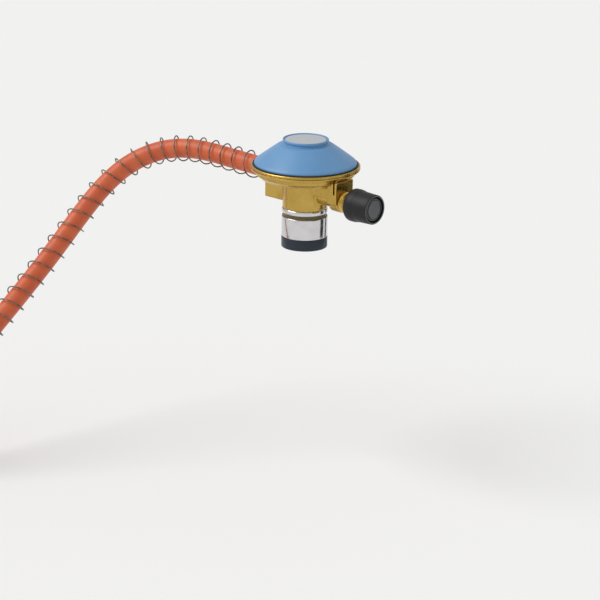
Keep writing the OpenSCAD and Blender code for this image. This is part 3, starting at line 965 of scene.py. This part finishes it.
# %% Threaded bore
BORE_R, PITCH, THREAD_DEPTH = 5.72, 1.337, 0.42
NECK_HOLE_R, COLLAR_R = 3.95, 6.2
bore = [(0, NUT_FROM - 1, 0), (NECK_HOLE_R, NUT_FROM - 1, 0), (NECK_HOLE_R, 5.95, 0),
        (COLLAR_R, 5.95, 0), (COLLAR_R, 8.5, 0), (BORE_R, 8.6, 0)]
for turn_number in range(5):
    at = 9.1 + turn_number * PITCH
    crest = (BORE_R + THREAD_DEPTH, at + PITCH / 2, 0)
    bore += [(BORE_R, at, 0), crest, (BORE_R, at + PITCH - 0.1, 0)]
bore += [(BORE_R, NUT_TO - 0.5, 0), (BORE_R + 0.8, NUT_TO + 0.2, 0), (0, NUT_TO + 0.2, 0)]
cut_by(nut, spun(bore, "X", whole=False), "DIFFERENCE")
shape = bmesh.new()
shape.from_mesh(nut.data)
bpy.data.objects.remove(nut)
bmesh.ops.transform(shape, matrix=END_PLACE, verts=shape.verts)
nut = piece_from(shape, "hexagon_union_nut", None, "end_nut", "union_nut", slot="turned_brass")


# %% Crimped sleeve
SLEEVE_R, SLEEVE_LONG = 8.2, 9.0
SLEEVE_INSIDE, TAIL_HOLE_R = 6.75, 3.45
crimped = [(SLEEVE_INSIDE, -SLEEVE_LONG, 0.1), (7.7, -SLEEVE_LONG, 0.2),
           (SLEEVE_R, -SLEEVE_LONG + 0.5, 0.2)]
for groove in (-6.0, -3.4):
    crimped += [(SLEEVE_R, groove - 0.6, 0.2), (7.6, groove, 0.25), (SLEEVE_R, groove + 0.6, 0.2)]
crimped += [(SLEEVE_R, 0.4, 0.25), (7.6, 1.0, 0.25), (TAIL_HOLE_R, 1.0, 0.1),
            (TAIL_HOLE_R, 0, 0), (SLEEVE_INSIDE, 0, 0)]
shape = spun(crimped, "X")
bmesh.ops.transform(shape, matrix=END_PLACE, verts=shape.verts)
sleeve_piece = piece_from(shape, "crimped_sleeve", None, "regulator", "end_ferrule", slot="steel")


# %% [markdown]


# %% [markdown]
# ## The regulator spring
# Inside the cover a steel spring presses the diaphragm. It is a smooth helix with flat
# end turns. When the diaphragm rises the spring is squeezed.

# %% Spring
SPRING_TURNS, WIRE_R = 5, 0.75
STEPS = SPRING_TURNS * 32
FLAT_END = 0.12                        # share of the wire that lies flat at each end
spring_low, spring_high = box_mm("regulator_spring")
coil_r = spring_high.y - WIRE_R
low_z, high_z = spring_low.z + WIRE_R, spring_high.z - WIRE_R
helix = []
for i in range(STEPS + 1):
    share = i / STEPS
    rise = min(max((share - FLAT_END) / (1 - 2 * FLAT_END), 0), 1)
    angle = 2 * math.pi * SPRING_TURNS * share
    helix.append(Vector((coil_r * math.cos(angle), coil_r * math.sin(angle),
                         low_z + (high_z - low_z) * rise)) * MM)
coil = spline_object("coil_line", helix, 2 * WIRE_R * MM, sides=16, order=3, steps=1)
spring = bpy.data.objects.new("pressure_spring", bpy.data.meshes.new_from_object(coil))
bpy.context.collection.objects.link(spring)
bpy.data.curves.remove(coil.data)
for face in spring.data.polygons:
    face.use_smooth = True
spring.data.materials.clear()
spring.data.materials.append(finishes["spring_steel"])
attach(spring, "regulator")
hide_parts("regulator_spring")
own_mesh(spring)
print("spring:", len(spring.data.polygons), "faces")


# %% [markdown]
# ## The diaphragm
# The rubber diaphragm is clamped at its edge and lifted at its middle, so only its
# round fold bends. It is made as twelve equal wedges.

# %% Diaphragm
WEDGES = 12
sheet_z = box_mm("diaphragm")[0].z
SHEET = 0.95                           # thickness of the rubber
fold = [(20, 0), (21.5, 0.85), (24, 1.45), (26.5, 0.85), (28, 0), (34, 0), (34, SHEET),
        (28.3, SHEET), (26.8, 1.75), (24, 2.35), (21.2, 1.75), (19.7, SHEET)]
section = [(2.6, 0), (14, 0), *fold, (14, SHEET), (2.6, SHEET)]
for number in range(WEDGES):
    middle_angle = 2 * math.pi * (number + 0.5) / WEDGES
    turned = Matrix.Rotation(2 * math.pi * number / WEDGES, 4, "Z")
    shape = bmesh.new()
    side = shape.faces.new(
        [shape.verts.new(turned @ Vector((r * MM, 0, (sheet_z + h) * MM))) for r, h in section]
    )
    bmesh.ops.spin(shape, geom=[side], cent=(0, 0, 0), axis=(0, 0, 1),
                   angle=2 * math.pi / WEDGES, steps=8, use_merge=False)
    bmesh.ops.remove_doubles(shape, verts=shape.verts, dist=0.002 * MM)
    bmesh.ops.recalc_face_normals(shape, faces=shape.faces)
    mesh = bpy.data.meshes.new("diaphragm_wedge")
    shape.to_mesh(mesh)
    shape.free()
    mesh.materials.append(finishes["black_rubber"])
    wedge = bpy.data.objects.new("diaphragm_wedge_%02d" % (number + 1), mesh)
    bpy.context.collection.objects.link(wedge)
    out = Vector((math.cos(middle_angle), math.sin(middle_angle), 0)) * MM
    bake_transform(wedge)
    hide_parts("diaphragm")
print("diaphragm:", WEDGES, "wedges")
